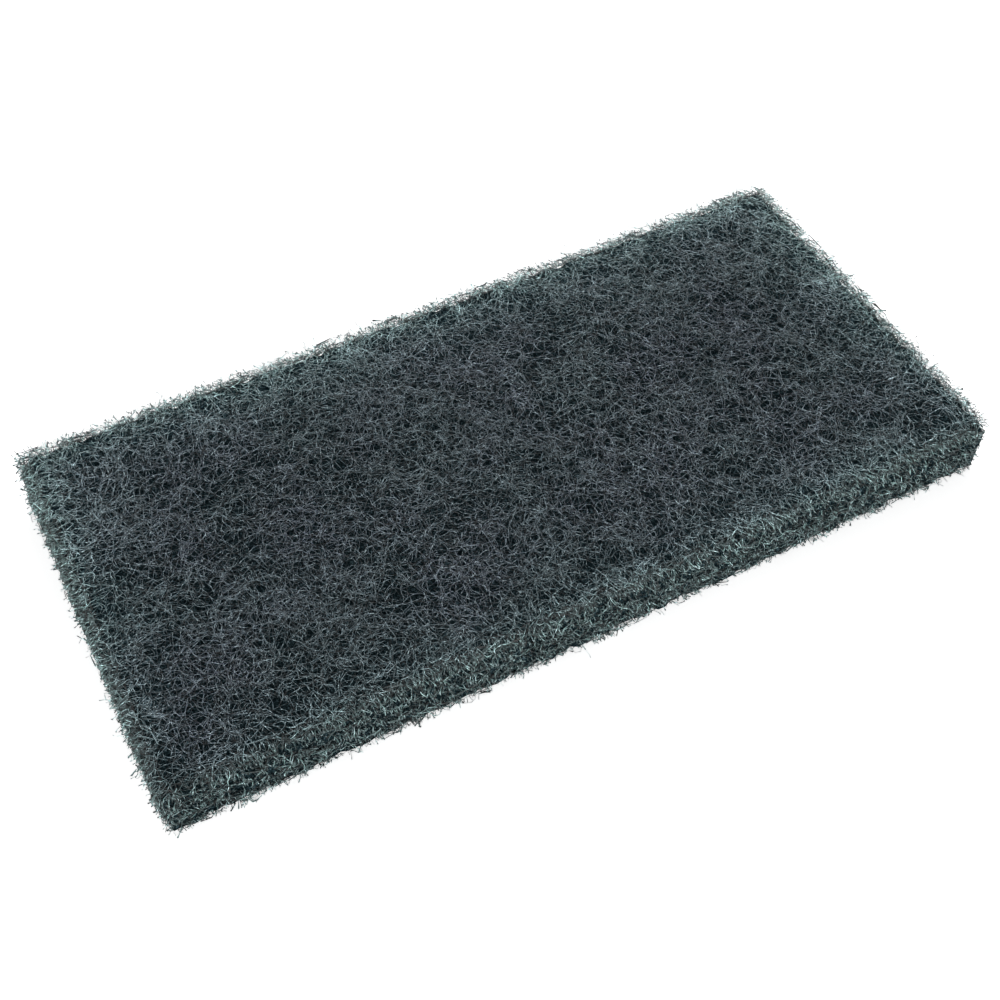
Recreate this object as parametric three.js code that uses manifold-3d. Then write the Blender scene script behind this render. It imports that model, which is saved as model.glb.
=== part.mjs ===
// Scouring pad: one slab of open nonwoven web, a tangle of crimped nylon fibres bonded with resin and
// grit, cut square on all four sides. Millimetres, +Z up. The origin is the middle of the underside,
// +X runs along the length, and the front long side faces -Y.

import * as THREE from "three";
import { ImprovedNoise } from "three/addons/math/ImprovedNoise.js";
import { mergeVertices } from "three/addons/utils/BufferGeometryUtils.js";
import Module from "manifold-3d";

// Overall size of the cut pad.
const LENGTH = 254;
const WIDTH = 117;
const THICKNESS = 19;

// The springy web gives way under the knife, so the corners and the rim of the top are a little round.
const EDGE_RADIUS = 3;

// Relief of the web: the depth of its hollows below the highest fibres, and how far apart its humps are.
const LOFT_DEPTH = 0.9; // slow rise and fall of the lofted web
const LOFT_SPACING = 47;
const TUFT_DEPTH = 1.3; // tufts where fibres bunch, and pits between them
const TUFT_SPACING = 13;
const STRAND_DEPTH = 2; // looped strands that stand out of the tangle
const STRAND_SPACING = 9;

// Facets that the relief is drawn with, along, across and up the slab.
const FACETS_ALONG = 86;
const FACETS_ACROSS = 39;
const FACETS_UP = 8;

// Web below the underside, cut away so that the pad lies flat: as deep as the round edge and the relief.
const UNDERCUT = EDGE_RADIUS + LOFT_DEPTH + TUFT_DEPTH + STRAND_DEPTH;

const nylonWeb = new THREE.MeshStandardMaterial({ color: 0x3b4549, roughness: 0.9, metalness: 0 });

const wasm = await Module();
wasm.setup();

// A closed geometry with only its positions, and one vertex at each point.
function weld(geometry) {
  geometry.deleteAttribute("normal");
  geometry.deleteAttribute("uv");
  return mergeVertices(geometry);
}

function toSolid(geometry) {
  return new wasm.Manifold(
    new wasm.Mesh({
      numProp: 3,
      vertProperties: new Float32Array(geometry.attributes.position.array),
      triVerts: new Uint32Array(geometry.index.array),
    }),
  );
}

function toGeometry(solid) {
  const mesh = solid.getMesh();
  const geometry = new THREE.BufferGeometry();
  geometry.setAttribute("position", new THREE.BufferAttribute(mesh.vertProperties, 3));
  geometry.setIndex(new THREE.BufferAttribute(mesh.triVerts, 1));
  geometry.computeVertexNormals();
  return geometry;
}

// Moves a point of a square-edged block of the given half sizes onto the block with rounded edges.
function roundEdge(point, halfSize) {
  const core = halfSize.clone().subScalar(EDGE_RADIUS);
  const inner = point.clone().clamp(core.clone().negate(), core);
  const outward = point.clone().sub(inner);
  const reach = Math.max(Math.abs(outward.x), Math.abs(outward.y), Math.abs(outward.z));
  return inner.add(outward.setLength(reach));
}

const noise = new ImprovedNoise();

// Smooth noise between about -1 and 1, with humps the given distance apart.
function swell(point, spacing) {
  return noise.noise(point.x / spacing, point.y / spacing, point.z / spacing);
}

// How far the surface is sunk at a point: least on the crest of a strand, where its noise is 0.
function reliefDepth(point) {
  const loft = (1 + swell(point, LOFT_SPACING)) / 2;
  const tuft = (1 + swell(point, TUFT_SPACING)) / 2;
  const strand = Math.abs(swell(point, STRAND_SPACING));
  return LOFT_DEPTH * loft + TUFT_DEPTH * tuft + STRAND_DEPTH * strand;
}

// The vertices of a geometry as points.
function pointsOf(geometry) {
  const place = geometry.attributes.position;
  return Array.from({ length: place.count }, (_, i) => new THREE.Vector3().fromBufferAttribute(place, i));
}

// The web as it lies before its underside is cut: a block with soft edges and the tangle's relief,
// its highest fibres at the overall size.
function makeWeb() {
  const height = THICKNESS + UNDERCUT;
  const halfSize = new THREE.Vector3(LENGTH, WIDTH, height).divideScalar(2);
  const block = new THREE.BoxGeometry(LENGTH, WIDTH, height, FACETS_ALONG, FACETS_ACROSS, FACETS_UP);
  const web = weld(block);
  web.attributes.position.copyArray(pointsOf(web).flatMap((p) => roundEdge(p, halfSize).toArray()));
  web.computeVertexNormals();
  const points = pointsOf(web);
  const depths = points.map(reliefDepth);
  const crest = Math.min(...depths);
  const normal = new THREE.Vector3();
  points.forEach((point, i) => {
    normal.fromBufferAttribute(web.attributes.normal, i);
    point.addScaledVector(normal, crest - depths[i]);
  });
  web.deleteAttribute("normal");
  web.setFromPoints(points);
  web.center();
  web.translate(0, 0, THICKNESS - web.boundingBox.max.z);
  return toSolid(web);
}

// The block below the underside that the flat cut takes away.
function makeUndercut() {
  const block = weld(new THREE.BoxGeometry(2 * LENGTH, 2 * WIDTH, 2 * UNDERCUT));
  block.translate(0, 0, -UNDERCUT);
  return toSolid(block);
}

const pad = new THREE.Mesh(toGeometry(makeWeb().subtract(makeUndercut())), nylonWeb);
pad.name = "scouring_pad";

const part = new THREE.Group();
part.add(pad);

export default part;
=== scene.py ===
import math

import bpy
import numpy as np
from mathutils import Matrix, Vector, noise


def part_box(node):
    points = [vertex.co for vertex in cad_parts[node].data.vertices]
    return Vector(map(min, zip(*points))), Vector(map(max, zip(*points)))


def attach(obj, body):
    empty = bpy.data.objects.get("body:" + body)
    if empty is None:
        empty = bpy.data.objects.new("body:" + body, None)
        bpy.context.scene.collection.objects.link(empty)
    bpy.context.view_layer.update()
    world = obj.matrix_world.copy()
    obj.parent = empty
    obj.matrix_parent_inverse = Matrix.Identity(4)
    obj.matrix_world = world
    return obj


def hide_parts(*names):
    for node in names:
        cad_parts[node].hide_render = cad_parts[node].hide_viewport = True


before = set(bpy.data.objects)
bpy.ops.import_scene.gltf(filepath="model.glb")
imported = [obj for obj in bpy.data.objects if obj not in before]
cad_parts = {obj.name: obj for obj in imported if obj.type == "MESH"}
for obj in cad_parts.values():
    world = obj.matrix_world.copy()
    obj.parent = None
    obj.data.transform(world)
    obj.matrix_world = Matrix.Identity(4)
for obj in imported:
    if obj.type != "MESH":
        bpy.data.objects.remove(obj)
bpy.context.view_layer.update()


# Inner web. The middle of the slab is the same tangle of crimped nylon fibres as its faces, but so deep
# that little light reaches it. It is one lumpy body set in from every face, and it shows only as the
# dark net behind the fibres that are laid round it. Sizes are in millimetres.
MM = 0.001
PAD = "scouring_pad"
pad_low, pad_high = (np.array(corner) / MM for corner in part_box(PAD))
pad_middle = (pad_low + pad_high) / 2
pad_size = pad_high - pad_low

# The frayed ends of the cut fibres reach a little past the solid's box, to this outline.
CUT_PAST_LEFT_AND_FRONT = np.array((1.6, 1.8))
CUT_PAST_RIGHT_AND_BACK = np.array((1.9, 3.6))
CORNER_RADIUS = 3.0
WORN_CORNER_RADIUS = 6.0  # the front right corner
cut_low = pad_low[:2] - CUT_PAST_LEFT_AND_FRONT
cut_high = pad_high[:2] + CUT_PAST_RIGHT_AND_BACK
cut_middle = (cut_low + cut_high) / 2
cut_size = cut_high - cut_low


def inside_cut(x, y):
    """How far points lie inside the cut outline of the pad, in millimetres, and below 0 outside it."""
    x, y = x - cut_middle[0], y - cut_middle[1]
    radius = np.where((x > 0) & (y < 0), WORN_CORNER_RADIUS, CORNER_RADIUS)
    past = np.stack([np.abs(x) - cut_size[0] / 2, np.abs(y) - cut_size[1] / 2]) + radius
    return radius - np.hypot(*past.clip(0, None)) - past.max(0).clip(None, 0)


SWELL_WAVES = 11
SWELL_SPREAD = (0.8, 1.4)


def swell(seed, x, y, spacing):
    """A smooth random rise and fall over x and y, mostly between -1 and 1, of about the given spacing."""
    draw = np.random.default_rng(seed)
    total = np.zeros_like(x)
    for _ in range(SWELL_WAVES):
        way, phase = draw.uniform(0, 2 * math.pi, 2)
        number = 2 * math.pi / (spacing * draw.uniform(*SWELL_SPREAD))
        total += np.cos((x * math.cos(way) + y * math.sin(way)) * number + phase)
    return total / math.sqrt(SWELL_WAVES)


# Pits of the top, where the web was laid thin.
PITS = 30
PIT_SEED = 3
PIT_SPREAD = 0.43  # share of the length and width, so that none lies by the rim
PIT_RADIUS = (0.8, 1.8)
PIT_DEPTH = 0.8
pit_draw = np.random.default_rng(PIT_SEED)
pit_places = pad_middle[:2] + pad_size[:2] * pit_draw.uniform(-PIT_SPREAD, PIT_SPREAD, (PITS, 2))
pit_radii = pit_draw.uniform(*PIT_RADIUS, PITS)

TOP_SWELLS = ((5, 45.0, 0.2), (6, 13.0, 0.25))  # seed, spacing and depth of the loft and of the tufts
HIGHEST_TUFT = 0.35
SHOULDER_RADIUS = 1.5
SHOULDER_DROP = 0.4


def top_height(x, y):
    """Height of the top: a slow loft, tufts, pits, and a round shoulder by the cut outline."""
    sunk = sum(depth * swell(seed, x, y, spacing) for seed, spacing, depth in TOP_SWELLS)
    for place, radius in zip(pit_places, pit_radii):
        sunk += PIT_DEPTH * np.exp(-((x - place[0]) ** 2 + (y - place[1]) ** 2) / radius**2)
    near = (SHOULDER_RADIUS - inside_cut(x, y)).clip(0, SHOULDER_RADIUS)
    shoulder = SHOULDER_RADIUS - np.sqrt(SHOULDER_RADIUS**2 - near**2)
    return pad_high[2] - sunk.clip(-HIGHEST_TUFT, None) - SHOULDER_DROP * shoulder


UNDER_SWELLS = ((7, 30.0, 0.25), (8, 9.0, 0.25))
UNDER_HOLLOW = 0.1
UNDER_CLEARANCE = 0.15


def under_height(x, y):
    """Height of the underside: it rests on its low tufts and is hollow between them."""
    rises = (depth * swell(seed, x, y, spacing) for seed, spacing, depth in UNDER_SWELLS)
    hollow = sum(rises, UNDER_HOLLOW)
    return pad_low[2] + UNDER_CLEARANCE + hollow.clip(0, None)


# The web is open by its cut sides: most at the rim of the top, least half way up.
RIM_DEPTH = 5.0
SIDE_DEPTH = 1.6
FOOT_DEPTH = 1.8
RIM_SLOPE = 0.9


def open_depth(share):
    """How far in from the cut sides the web is open, at a share of its height."""
    rim = RIM_DEPTH - RIM_SLOPE * (1 - share) * pad_size[2]
    foot = FOOT_DEPTH - RIM_SLOPE * share * pad_size[2]
    return np.maximum(rim, foot).clip(SIDE_DEPTH, None)


# The web looks paler and greener by its rim, and most of all by the back and right. The paleness is painted
# light, as if lit from behind through the open rim; the green is the tint of the cut edges.
RIM_REACH_NEAR = 4.0
RIM_REACH_FAR = 10.0
RIM_HEIGHT = 3.0
FAR_RIM_GAIN = 0.4
RIGHT_SHARE = 0.5  # how much the right counts beside the back


def rim_light_and_tint(x, y, z):
    """How much of the painted light and green tint of the rim points have: most at the cut outline, and more
    by the far rim.
    """
    far = ((y - pad_low[1]) / pad_size[1] + (x - pad_low[0]) / pad_size[0] * RIGHT_SHARE).clip(0, 1)
    reach = RIM_REACH_NEAR + (RIM_REACH_FAR - RIM_REACH_NEAR) * far
    gain = 1 + FAR_RIM_GAIN * far * np.exp((z - pad_high[2]) / RIM_HEIGHT).clip(0, 1)
    return gain * np.exp(-inside_cut(x, y).clip(0, None) / reach)


def linear(hex_colour):
    """An sRGB colour such as "5f6b6e" as linear RGBA."""
    shares = [int(hex_colour[i : i + 2], 16) / 255 for i in (0, 2, 4)]
    return [s / 12.92 if s <= 0.04045 else ((s + 0.055) / 1.055) ** 2.4 for s in shares] + [1.0]


def add_node(tree, kind, inputs=None, **settings):
    """Adds a shader node with its settings. Each input is given a value, or a socket to link to it."""
    node = tree.nodes.new("ShaderNode" + kind)
    for name, value in settings.items():
        setattr(node, name, value)
    for name, value in (inputs or {}).items():
        if isinstance(value, bpy.types.NodeSocket):
            tree.links.new(value, node.inputs[name])
        else:
            node.inputs[name].default_value = value
    return node


def empty_tree(owner):
    """The node tree of a material or world, with no nodes in it."""
    owner.use_nodes = True
    owner.node_tree.nodes.clear()
    return owner.node_tree


# Nylon web in deep shade: near black and dull, with paler nets of the strands that lie just below. The
# strands are drawn coarser than the real fibres, which are too fine to show.
NYLON_IOR = 1.53
DEEP_NETS = ((1.0, 0.13), (0.65, 0.14))  # spacing of the strands, and their half width as a share of it
DEEP_STRAND_BEND = 1.4
DEEP_STRAND_RELIEF = 0.4
DEEP_SPECK = 0.6
shaded_web = bpy.data.materials.new("shaded_nylon_web")
tree = empty_tree(shaded_web)
place = add_node(tree, "TexCoord").outputs["Object"]
sway = add_node(tree, "TexNoise", {"Vector": place, "Scale": 1 / (DEEP_STRAND_BEND * MM), "Detail": 2.0})
swayed = add_node(
    tree,
    "VectorMath",
    {0: sway.outputs["Color"], 1: (DEEP_STRAND_BEND * MM,) * 3, 2: place},
    operation="MULTIPLY_ADD",
)
strands = []
for spacing, width in DEEP_NETS:
    net = add_node(
        tree,
        "TexVoronoi",
        {"Vector": swayed.outputs["Vector"], "Scale": 1 / (spacing * MM)},
        feature="DISTANCE_TO_EDGE",
    )
    strand = add_node(
        tree,
        "MapRange",
        {"Value": net.outputs["Distance"], "From Max": width, "To Min": 1.0, "To Max": 0.0},
    )
    strands.append(strand.outputs["Result"])
speck = add_node(tree, "TexNoise", {"Vector": place, "Scale": 1 / (DEEP_SPECK * MM), "Detail": 1.0})
shown = add_node(tree, "MapRange", {"Value": speck.outputs["Fac"], "From Min": 0.38, "From Max": 0.62})
broken = add_node(tree, "Math", {0: strands[0], 1: shown.outputs["Result"]}, operation="MULTIPLY")
dim = add_node(tree, "MixRGB", {"Fac": strands[1], "Color1": linear("03090c"), "Color2": linear("172326")})
lit = add_node(
    tree,
    "MixRGB",
    {"Fac": broken.outputs["Value"], "Color1": dim.outputs["Color"], "Color2": linear("42545a")},
)
# Painted light: the web is drawn up to 4.4 times paler by its rim, most by the back and right.
rim = add_node(tree, "Attribute", attribute_name="rim").outputs["Fac"]
level = add_node(tree, "MapRange", {"Value": rim, "From Max": 2.0, "To Min": 1.0, "To Max": 4.4})
deep = add_node(
    tree,
    "VectorMath",
    {0: lit.outputs["Color"], "Scale": level.outputs["Result"]},
    operation="SCALE",
)
raised = add_node(tree, "Bump", {"Height": strands[0], "Distance": DEEP_STRAND_RELIEF * MM})
shader = add_node(
    tree,
    "BsdfPrincipled",
    {
        "Base Color": deep.outputs["Vector"],
        "Roughness": 0.9,
        "IOR": NYLON_IOR,
        "Specular IOR Level": 0.0,
        "Normal": raised.outputs["Normal"],
    },
)
add_node(tree, "OutputMaterial", {"Surface": shader.outputs["BSDF"]})


def add_piece(name, mesh, material):
    """Puts a mesh in the scene as a piece of the pad, in the material, under the root body."""
    piece = bpy.data.objects.new(name, mesh)
    bpy.context.collection.objects.link(piece)
    mesh.materials.append(material)
    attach(piece, "root")
    return piece


def unit(vectors):
    """Vectors of length 1 that point as the given ones do. One with no length stays as it is."""
    return vectors / (np.linalg.norm(vectors, axis=-1, keepdims=True) + 1e-9)


INNER_CELL = 2.0
INNER_INSET_TOP = 1.0
INNER_INSET_UNDER = 0.3
INNER_COVER = 0.3  # least depth of the brush of fibres in front of its lumps
LUMP_DEPTH = Vector((2.0, 2.0, 0.6))
LUMP_SPACING = 3.6
bpy.ops.mesh.primitive_cube_add(size=1, location=pad_middle * MM, scale=pad_size * MM)
block = bpy.context.object
bpy.ops.object.transform_apply(location=True, rotation=False, scale=True)
cells = block.modifiers.new("even cells", "REMESH")
cells.mode = "VOXEL"
cells.voxel_size = INNER_CELL * MM
bpy.ops.object.modifier_apply(modifier=cells.name)
inner_mesh = block.data.copy()
bpy.data.objects.remove(block)
inner_mesh.name = "inner_web"
for vertex in inner_mesh.vertices:
    lump = noise.noise(vertex.co / (LUMP_SPACING * MM))
    vertex.co += vertex.normal * LUMP_DEPTH * lump * MM
spots = np.array([vertex.co for vertex in inner_mesh.vertices]) / MM
inner_height = pad_size[2] - INNER_INSET_UNDER - INNER_INSET_TOP
share = (INNER_INSET_UNDER + (spots[:, 2] - pad_low[2]) / pad_size[2] * inner_height) / pad_size[2]
inner_size = cut_size - 2 * open_depth(share)[:, None]
spots[:, :2] = cut_middle + (spots[:, :2] - pad_middle[:2]) / pad_size[:2] * inner_size
core = spots[:, :2].clip(cut_low + WORN_CORNER_RADIUS, cut_high - WORN_CORNER_RADIUS)
bare = (INNER_COVER - inside_cut(spots[:, 0], spots[:, 1])).clip(0, None)
spots[:, :2] += unit(core - spots[:, :2]) * bare[:, None]
lowest = under_height(spots[:, 0], spots[:, 1])
spots[:, 2] = lowest + share * (top_height(spots[:, 0], spots[:, 1]) - lowest)
inner_mesh.vertices.foreach_set("co", spots.ravel() * MM)
rim_mark = inner_mesh.attributes.new("rim", "FLOAT", "POINT")
rim_mark.data.foreach_set("value", rim_light_and_tint(*spots.T).astype(np.float32))
inner_web = add_piece("inner_web", inner_mesh, shaded_web)
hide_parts(PAD)


# Top tangle. Crimped nylon fibres lie mostly flat, in kinks and loops, layer on layer, and are bonded where
# they cross by sprayed resin with fine grit. The outer layers are the densest and the best lit.
FIBRE_THICKNESS = 0.1  # that of the coarser fibres, as the finer ones wouldn't show
THICKNESS_SPREAD = 0.2
LUMPINESS = 0.25
LUMP_LIMITS = (-1.6, 2.4)
FIBRE_SIDES = 3
FIBRE_CRIMPS = 18
CRIMP_LENGTH = 1.7
CRIMP_SPREAD = 0.22
CURL = (-0.3, 0.8)  # from a zigzag to a loop
KINK = 0.6
RISE_KEPT = 0.4
RISE_NEW = 0.9


def wander(draw, start, pitch):
    """Paths of crimped fibres from their starts, a point for each fibre and crimp, in millimetres."""
    count = len(start)
    length = CRIMP_LENGTH * draw.lognormal(0, CRIMP_SPREAD, count)[:, None]
    curl = draw.uniform(*CURL, count)
    heading = draw.uniform(0, 2 * math.pi, count)
    kink = draw.normal(0, KINK, count)
    rise = draw.normal(0, pitch, count)
    path = [start]
    for _ in range(FIBRE_CRIMPS):
        kink = curl * kink + np.sqrt(1 - curl**2) * draw.normal(0, KINK, count)
        rise = RISE_KEPT * rise + RISE_NEW * draw.normal(0, pitch, count)
        heading = heading + kink
        flat = np.cos(rise)
        ahead = np.stack([np.cos(heading) * flat, np.sin(heading) * flat, np.sin(rise)], 1)
        path.append(path[-1] + length * ahead)
    return np.stack(path, 1)


def fold(value, depth):
    """Turns a value back at 0 and at depth, as fibres turn back at the faces of the web."""
    return np.abs((value + depth) % (2 * depth) - depth)


CUT_RAGGED = 0.25
LOOSE_RAGGED = 0.16
TUFT_RAGGED = 0.45
TUFT_SPACING = 3.2
TUFT_SEED = 9


def ragged_cut(draw, path, loose_depth):
    """How far points lie inside the cut of their fibre. No two are cut quite alike, and the blade drags away
    the lengths that run along it less than the loose depth behind it."""
    x, y, z = np.moveaxis(path, -1, 0)
    within = inside_cut(x, y)
    own = (CUT_RAGGED + LOOSE_RAGGED * loose_depth) * (draw.exponential(1, (len(path), 1)) - 1)
    loose = loose_depth * (1 - np.abs(np.gradient(within, axis=1)) / CRIMP_LENGTH).clip(0, 1)
    return within + own + TUFT_RAGGED * swell(TUFT_SEED, x + z, y + z, TUFT_SPACING) - loose


def trim(path, kept):
    """Cuts paths where kept falls below 0, with the point past a cut moved onto it, and says which stay."""
    inside = kept > 0
    stays = inside.copy()
    cut_path = path.copy()
    later, earlier = np.s_[:, 1:], np.s_[:, :-1]
    for here, there in ((earlier, later), (later, earlier)):
        leaves = inside[here] & ~inside[there]
        share = kept[here] / np.where(leaves, kept[here] - kept[there], 1)
        spot = path[here] + share[..., None] * (path[there] - path[here])
        cut_path[there] = np.where(leaves[..., None], spot, cut_path[there])
        stays[there] |= leaves
    return cut_path, stays


HELD_DEPTH = 0.8


def held(stays, within):
    """Which points belong to a stretch that reaches far enough in to be bonded to the web."""
    stretch = np.cumsum(~stays).reshape(stays.shape) + np.arange(len(stays))[:, None]
    deepest = np.zeros(stretch.max() + 1)
    np.maximum.at(deepest, stretch[stays], within[stays])
    return deepest[stretch] > HELD_DEPTH


def tube_rings(draw, path, swollen):
    """Rings of points round the paths. Their size differs by fibre, and swells with lumps of resin."""
    count, spots = path.shape[:2]
    along = unit(np.gradient(path, axis=1))
    across = np.cross(along, draw.normal(0, 1, (count, 1, 3)))
    for i in range(spots):
        kept = across[:, max(i - 1, 0)]
        across[:, i] = unit(kept - np.sum(kept * along[:, i], 1, keepdims=True) * along[:, i])
    upright = np.cross(along, across)
    own = FIBRE_THICKNESS / 2 * draw.lognormal(0, THICKNESS_SPREAD, (count, 1))
    radius = own * swollen * (1 + LUMPINESS * draw.normal(0, 1, (count, spots)).clip(*LUMP_LIMITS))
    turn = np.arange(FIBRE_SIDES) * 2 * math.pi / FIBRE_SIDES
    out = np.cos(turn)[:, None] * across[:, :, None] + np.sin(turn)[:, None] * upright[:, :, None]
    return path[:, :, None] + radius[..., None, None] * out


STRIP_STRETCH = 3  # length of a crimp on the texture, in sides of its fibre


def strip_places(fibre, spot, side, count, spots):
    """Texture places that lay each fibre out flat as a strip of its own, so that no two share a place."""
    columns = max(1, round(math.sqrt(count * (FIBRE_SIDES + 1) / (STRIP_STRETCH * (spots + 1)))))
    rows = math.ceil(count / columns)
    u = (fibre % columns + (spot + 0.5) / (spots + 1)) / columns
    v = (fibre // columns + (side + 0.5) / (FIBRE_SIDES + 1)) / rows
    return np.stack(np.broadcast_arrays(u, v), -1).reshape(-1, 2)


CUT_SWELL = 0.3
CUT_REACH = 1.6
DARKENED_END = 0.4  # length over which a cut end is drawn darker, down to a tenth at its tip
END_NUB = 1.6
LARGEST_NUB = 3.5
CAP_REACH = 0.3
LIT_DEPTH = 0.9


def add_fibres(name, draw, path, kept, depth, material):
    """Adds a piece of closed thin tubes along the stretches of the paths that are kept."""
    some = (kept > 0).any(1)
    path, kept, depth = path[some], kept[some], depth[some]
    path, stays = trim(path, kept)
    within = inside_cut(path[..., 0], path[..., 1]).clip(0, None)
    stays &= held(stays, within)
    count, spots = stays.shape
    cut = np.exp(-kept.clip(0, None) / DARKENED_END)
    nub = (END_NUB * draw.exponential(1, (count, 1))).clip(None, LARGEST_NUB) * cut
    rings = tube_rings(draw, path, 1 + CUT_SWELL * np.exp(-within / CUT_REACH) + nub)
    rings[..., 2] = rings[..., 2].clip(pad_low[2], None)
    number = np.cumsum(stays).reshape(stays.shape) - 1
    side = np.arange(FIBRE_SIDES)
    joined = stays[:, :-1] & stays[:, 1:]
    opens = stays & ~np.pad(stays, ((0, 0), (1, 0)))[:, :-1]
    closes = stays & ~np.pad(stays, ((0, 0), (0, 1)))[:, 1:]
    fibre, spot = np.nonzero(joined)
    ring = number[fibre, spot][:, None, None] + [0, 0, 1, 1]
    around = side[:, None] + [0, 1, 1, 0]
    walls = (ring * FIBRE_SIDES + around % FIBRE_SIDES).reshape(-1, 4)
    places = [strip_places(fibre[:, None, None], spot[:, None, None] + [0, 0, 1, 1], around, count, spots)]
    caps = []
    for ends, order, reach in ((opens, side[::-1], -CAP_REACH), (closes, side, CAP_REACH)):
        fibre, spot = (index[:, None] for index in np.nonzero(ends))
        caps += (number[ends][:, None] * FIBRE_SIDES + order).tolist()
        places.append(strip_places(fibre, spot + reach * np.array([1, 0, 1]), side, count, spots))
    mesh = bpy.data.meshes.new(name)
    mesh.from_pydata((rings[stays].reshape(-1, 3) * MM).tolist(), [], walls.tolist() + caps)
    mesh.shade_smooth()
    marks = {
        "own": np.broadcast_to(draw.uniform(0, 1, (count, 1)), stays.shape),
        "rim": rim_light_and_tint(*np.moveaxis(path, -1, 0)),
        "lit": np.exp(-depth.clip(0, None) / LIT_DEPTH),
        "cut": cut,
    }
    for label, values in marks.items():
        attribute = mesh.attributes.new(label, "FLOAT", "POINT")
        attribute.data.foreach_set("value", np.repeat(values[stays], FIBRE_SIDES).astype(np.float32))
    strips = mesh.uv_layers.new(name="OFBake")
    strips.data.foreach_set("uv", np.concatenate(places).astype(np.float32).ravel())
    add_piece(name, mesh, material)


# Nylon fibre coated with resin and grit: slate grey with a green cast, greener by the cut edges, and paler in
# specks where grit sits on it. The grit is drawn coarser than it is, because it is too fine to show. Painted
# light and shade: it is darker the deeper it lies, paler by the rim and most by the back and right, and
# lighter and darker in stretches along each fibre. It is also drawn darker towards its cut ends.
GRIT_SPACING = 0.35
STRETCH_SHADE_SPACING = 1.3
PATCH_SPACING = 25.0
FIBRES_APART = 100.0  # so that each fibre has its own lighter and darker stretches of painted light and shade
coated_nylon = bpy.data.materials.new("resin_coated_nylon")
tree = empty_tree(coated_nylon)
place = add_node(tree, "TexCoord").outputs["Object"]
own, rim, lit, cut = (
    add_node(tree, "Attribute", attribute_name=label).outputs["Fac"] for label in ("own", "rim", "lit", "cut")
)
patch = add_node(tree, "TexNoise", {"Vector": place, "Scale": 1 / (PATCH_SPACING * MM), "Detail": 2.0})
dust = add_node(tree, "TexNoise", {"Vector": place, "Scale": 1 / (GRIT_SPACING * MM), "Detail": 2.0})
dusty = add_node(tree, "MapRange", {"Value": dust.outputs["Fac"], "From Min": 0.46, "From Max": 0.7})
mauve = add_node(tree, "MapRange", {"Value": patch.outputs["Fac"], "From Min": 0.4, "From Max": 0.65})
slate = add_node(
    tree,
    "MixRGB",
    {"Fac": mauve.outputs["Result"], "Color1": linear("536871"), "Color2": linear("5a6375")},
)
green = add_node(tree, "MixRGB", {"Fac": rim, "Color1": slate.outputs["Color"], "Color2": linear("779894")})
pale = add_node(
    tree,
    "MixRGB",
    {"Fac": dusty.outputs["Result"], "Color1": green.outputs["Color"], "Color2": linear("d6eaf0")},
)
apart = add_node(tree, "Math", {0: own, 1: FIBRES_APART}, operation="MULTIPLY")
stretch_light_and_shade = add_node(
    tree,
    "TexNoise",
    {"Vector": place, "W": apart.outputs["Value"], "Scale": 1 / (STRETCH_SHADE_SPACING * MM), "Detail": 1.0},
    noise_dimensions="4D",
)
level = 1.0
for value, low, high, least, most in (
    # what the level follows, its lowest and highest value, and the level that each gives
    # painted light and shade: lighter and darker stretches along each fibre
    (stretch_light_and_shade.outputs["Fac"], 0.4, 0.66, 0.03, 2.15),
    # painted shade: darker the deeper the fibre lies
    (lit, 0.0, 1.0, 0.03, 1.0),
    # painted light: paler by the rim, most by the back and right
    (rim, 0.0, 2.0, 0.9, 3.1),
    # darker towards the cut ends
    (cut, 0.0, 1.0, 1.0, 0.1),
):
    share = add_node(
        tree,
        "MapRange",
        {"Value": value, "From Min": low, "From Max": high, "To Min": least, "To Max": most},
    )
    product = add_node(tree, "Math", {0: level, 1: share.outputs["Result"]}, operation="MULTIPLY")
    level = product.outputs["Value"]
colour = add_node(tree, "VectorMath", {0: pale.outputs["Color"], "Scale": level}, operation="SCALE")
rough = add_node(tree, "MapRange", {"Value": dust.outputs["Fac"], "To Min": 0.4, "To Max": 0.7})
shader = add_node(
    tree,
    "BsdfPrincipled",
    {"Base Color": colour.outputs["Vector"], "Roughness": rough.outputs["Result"], "IOR": NYLON_IOR},
)
add_node(tree, "OutputMaterial", {"Surface": shader.outputs["BSDF"]})


def sow(draw, length_per_area, span, depth):
    """Starts of fibres spread over a span of two sides, and through the depth of a layer."""
    count = round(length_per_area * span[0] * span[1] / (FIBRE_CRIMPS * CRIMP_LENGTH))
    return draw.uniform(0, 1, (count, 3)) * [*span, depth]


SMALLEST_GAP = 0.01


def push_aside(path):
    """Moves paths out of the pits of the top, round which the fibres are laid."""
    for place, radius in zip(pit_places, pit_radii):
        off = path[..., :2] - place
        gap = np.linalg.norm(off, axis=-1, keepdims=True)
        path[..., :2] += off * radius * np.exp(-gap / radius) / (gap + SMALLEST_GAP)


TOP_LAYERS = (
    # piece, depth of its upper and lower faces, pitch of its fibres
    ("surface_strands", 0.0, 0.5, 0.35),
    ("upper_tangle", 0.0, 0.8, 0.5),
    ("middle_tangle", 0.1, 1.1, 0.5),
)
TOP_FIBRE_PER_AREA = 1.67
RIM_LOOSE_DEPTH = 3.7
MARGIN = 28.0  # width of the web round the pad that is cut away
FIBRE_SEED = 11
draw = np.random.default_rng(FIBRE_SEED)
for name, upper, lower, pitch in TOP_LAYERS:
    start = sow(draw, TOP_FIBRE_PER_AREA, pad_size[:2] + 2 * MARGIN, lower - upper)
    start[:, :2] += pad_low[:2] - MARGIN
    path = wander(draw, start, pitch)
    push_aside(path)
    depth = upper + fold(path[..., 2], lower - upper)
    path[..., 2] = top_height(path[..., 0], path[..., 1]) - depth
    kept = ragged_cut(draw, path, RIM_LOOSE_DEPTH)
    add_fibres(name, draw, path, kept, depth, coated_nylon)


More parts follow.
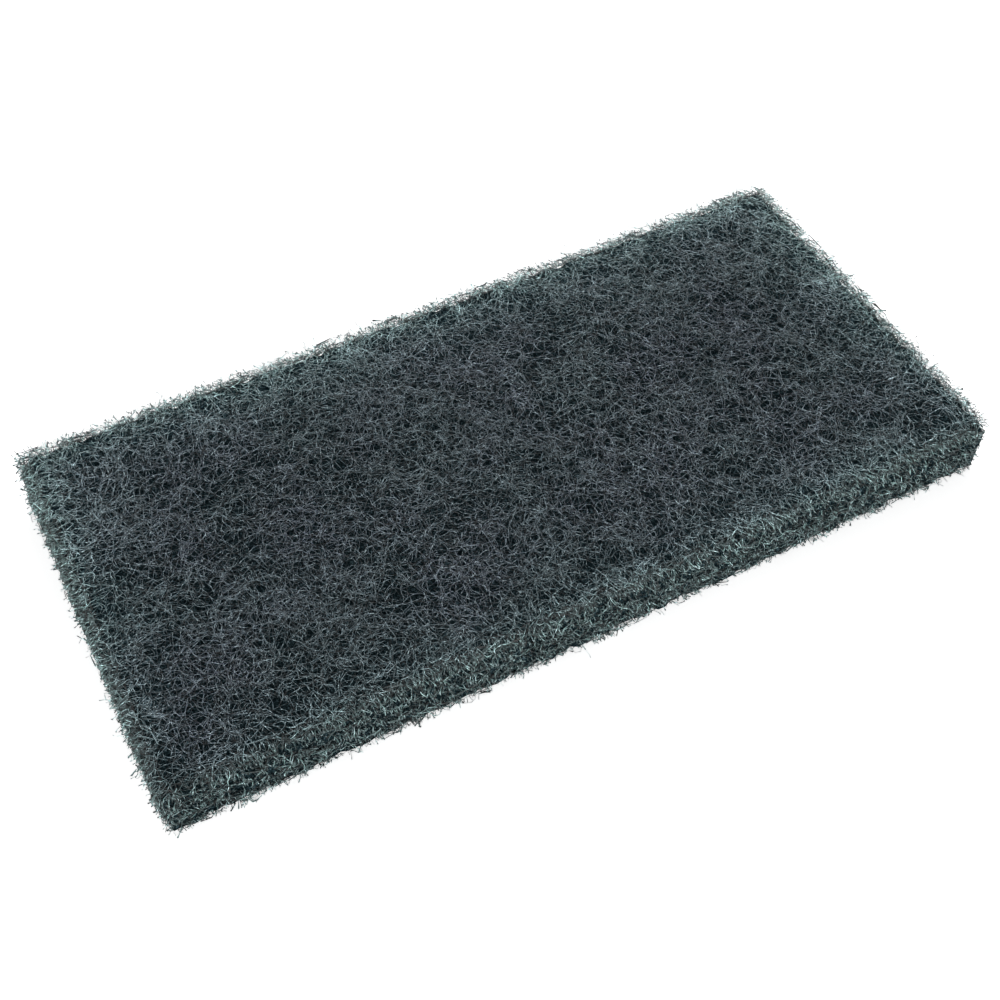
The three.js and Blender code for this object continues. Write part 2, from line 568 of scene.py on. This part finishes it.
# Cut sides. The blade leaves the fibres of the web cut short, so each side is a dense brush of cut ends and
# kinked lengths, a little ragged, and open enough at the rim of the top to see through to what lies behind.
# The web was laid in layers, and the brush parts a little between them.
WEB_FIBRE_PER_VOLUME = 3.0
SIDE_PITCH = 0.55
SIDE_LOOSE_DEPTH = 0.4
SIDE_SHADE = 0.45
LAYER_SPACING = 3.2
LAYER_LENGTH = 12.0
LAYER_DEPTH = 0.6
LAYER_SEED = 10
SIDES = (
    # piece, the axis that it faces along, and which way
    ("front_side", 1, -1),
    ("back_side", 1, 1),
    ("left_end", 0, -1),
    ("right_end", 0, 1),
)
for name, axis, way in SIDES:
    span = np.zeros(2)
    span[axis] = 2 * MARGIN
    span[1 - axis] = pad_size[1 - axis] + 2 * MARGIN
    start = sow(draw, WEB_FIBRE_PER_VOLUME * pad_size[2], span, pad_size[2])
    start[:, :2] += pad_middle[:2] - span / 2
    start[:, axis] += way * pad_size[axis] / 2
    path = wander(draw, start, SIDE_PITCH)
    x, y = path[..., 0], path[..., 1]
    within = inside_cut(x, y)
    share = fold(path[..., 2], pad_size[2]) / pad_size[2]
    lowest = under_height(x, y)
    path[..., 2] = lowest + share * (top_height(x, y) - lowest)
    from_edge = np.abs(path[..., :2] - cut_middle) - cut_size / 2
    nearest = from_edge[..., axis] - from_edge[..., 1 - axis]
    same_side = way * (path[..., axis] - pad_middle[axis])
    at_rim = np.exp((share - 1) * pad_size[2] / RIM_HEIGHT)
    loose_depth = SIDE_LOOSE_DEPTH + (RIM_LOOSE_DEPTH - SIDE_LOOSE_DEPTH) * at_rim
    along = path[..., 1 - axis] * LAYER_SPACING / LAYER_LENGTH
    parted = LAYER_DEPTH * swell(LAYER_SEED, along, path[..., 2], LAYER_SPACING).clip(0, None)
    brush = ragged_cut(draw, path, loose_depth) - parted
    kept = np.min([brush, open_depth(share) - within, nearest, same_side], axis=0)
    add_fibres(name, draw, path, kept, SIDE_SHADE * within, coated_nylon)


# Underside. The same coated nylon web as the top, cut from the same slab. It lies on its low tufts, so
# only a thin layer of fibres is laid under the inner web.
UNDER_DEPTH = 0.9
UNDER_FIBRE_PER_AREA = 0.3
UNDER_PITCH = 0.3
start = sow(draw, UNDER_FIBRE_PER_AREA, pad_size[:2] + 2 * MARGIN, UNDER_DEPTH)
start[:, :2] += pad_low[:2] - MARGIN
path = wander(draw, start, UNDER_PITCH)
depth = fold(path[..., 2], UNDER_DEPTH)
path[..., 2] = under_height(path[..., 0], path[..., 1]) + depth
kept = ragged_cut(draw, path, RIM_LOOSE_DEPTH)
add_fibres("underside", draw, path, kept, depth, coated_nylon)


# Floor. A sheet of matt white paper that the pad lies on. It takes the pad's soft shadow, and a glow that
# is seen but doesn't light the pad lifts it to the white of the surroundings. Its size is in metres.
FLOOR_REACH = 0.55
FLOOR_GLOW = 0.48
PAPER_REFLECTANCE = 0.9
corners = [(-1, -1), (1, -1), (1, 1), (-1, 1)]
floor_mesh = bpy.data.meshes.new("floor")
floor_mesh.from_pydata([(x * FLOOR_REACH, y * FLOOR_REACH, 0) for x, y in corners], [], [(0, 1, 2, 3)])
floor = bpy.data.objects.new("floor", floor_mesh)
bpy.context.collection.objects.link(floor)
white_floor = bpy.data.materials.new("white_paper")
tree = empty_tree(white_floor)


def seen_white(tree):
    """1 on the rays that show the white surroundings: to the camera, in a gloss or through a clear piece."""
    path = add_node(tree, "LightPath")
    seen = path.outputs["Is Camera Ray"]
    for kind in ("Is Glossy Ray", "Is Transmission Ray"):
        seen = add_node(tree, "Math", {0: seen, 1: path.outputs[kind]}, operation="MAXIMUM").outputs["Value"]
    return seen


glow = add_node(tree, "Math", {0: seen_white(tree), 1: FLOOR_GLOW}, operation="MULTIPLY")
shader = add_node(
    tree,
    "BsdfPrincipled",
    {
        "Base Color": [PAPER_REFLECTANCE] * 3 + [1.0],
        "Roughness": 0.9,
        "Emission Color": linear("ffffff"),
        "Emission Strength": glow.outputs["Value"],
    },
)
add_node(tree, "OutputMaterial", {"Surface": shader.outputs["BSDF"]})
floor_mesh.materials.append(white_floor)


# Light. A white room that lights the pad evenly and is seen as plain white, and two square softboxes, the
# key in front on the left and the fill behind on the right. Their sizes and places are in metres.
SKY_LIGHT = 0.4
studio = bpy.data.worlds.new("studio")
bpy.context.scene.world = studio
tree = empty_tree(studio)
strength = add_node(tree, "MapRange", {"Value": seen_white(tree), "To Min": SKY_LIGHT, "To Max": 1.0})
sky = add_node(tree, "Background", {"Color": linear("ffffff"), "Strength": strength.outputs["Result"]})
add_node(tree, "OutputWorld", {"Surface": sky.outputs["Background"]})

SOFTBOX_SIZE = 0.5
SOFTBOXES = (
    # lamp, its place, and its power in watts
    ("key_softbox", (-0.35, -0.75, 0.6), 5.6),
    ("fill_softbox", (0.35, 0.6, 0.6), 4.8),
)
for name, spot, power in SOFTBOXES:
    lamp = bpy.data.objects.new(name, bpy.data.lights.new(name, "AREA"))
    bpy.context.collection.objects.link(lamp)
    lamp.data.size = SOFTBOX_SIZE
    lamp.data.energy = power
    lamp.location = spot
    lamp.rotation_mode = "QUATERNION"
    lamp.rotation_quaternion = (-Vector(spot)).to_track_quat("-Z", "Y")


# Camera. It stands where the photograph was taken from, above the front on the left. Its place, lens and
# film width are in millimetres, and its angles in degrees.
CAMERA_PLACE = Vector((-125.0, -217.3, 322.6))
CAMERA_AZIMUTH = -29.2
CAMERA_ELEVATION = 52.9
CAMERA_ROLL = 1.42
CAMERA_LENS = 49.4
FILM_WIDTH = 36
NEAREST_SEEN = 10.0
camera = bpy.data.objects.new("camera", bpy.data.cameras.new("camera"))
bpy.context.collection.objects.link(camera)
camera.data.sensor_width = FILM_WIDTH
camera.data.lens = CAMERA_LENS
camera.data.clip_start = NEAREST_SEEN * MM
turn = Matrix.Rotation(math.radians(CAMERA_AZIMUTH), 4, "Z")
tip = Matrix.Rotation(math.radians(90 - CAMERA_ELEVATION), 4, "X")
roll = Matrix.Rotation(math.radians(CAMERA_ROLL), 4, "Z")
camera.matrix_world = Matrix.Translation(CAMERA_PLACE * MM) @ turn @ tip @ roll
bpy.context.scene.camera = camera
bpy.context.scene.view_settings.view_transform = "Standard"
